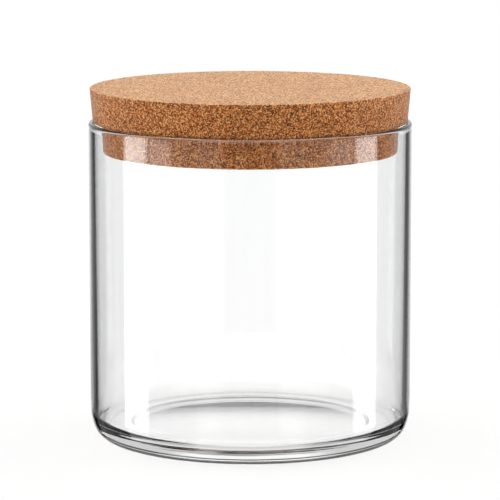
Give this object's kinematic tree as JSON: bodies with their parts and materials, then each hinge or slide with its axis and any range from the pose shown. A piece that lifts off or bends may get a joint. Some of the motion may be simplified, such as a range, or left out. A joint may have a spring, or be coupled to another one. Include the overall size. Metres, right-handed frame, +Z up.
{
  "type": "storage jar with stopper lid",
  "caption": "Round straight-sided clear glass storage jar, closed by a stepped cork lid whose disc rests on the rim and whose plug hangs in the mouth.",
  "frame": {"origin": "centre of the plane that the jar stands on", "axes": "+Z up along the common axis of the jar and its lid, from the base to the mouth"},
  "size_m": [0.1002, 0.1002, 0.1093],
  "materials": {
    "glass": "clear, fire-polished",
    "cork": "matte pressed cork, fine grained"
  },
  "bodies": {
    "jar": {"glass_jar": "glass"},
    "lid": {"cork_lid": "cork"}
  },
  "joints": [
    {"name": "lid_lift", "type": "slide", "parent": "jar", "child": "lid", "axis": [0, 0, 1], "range_m": [0, 0.12]}
  ]
}
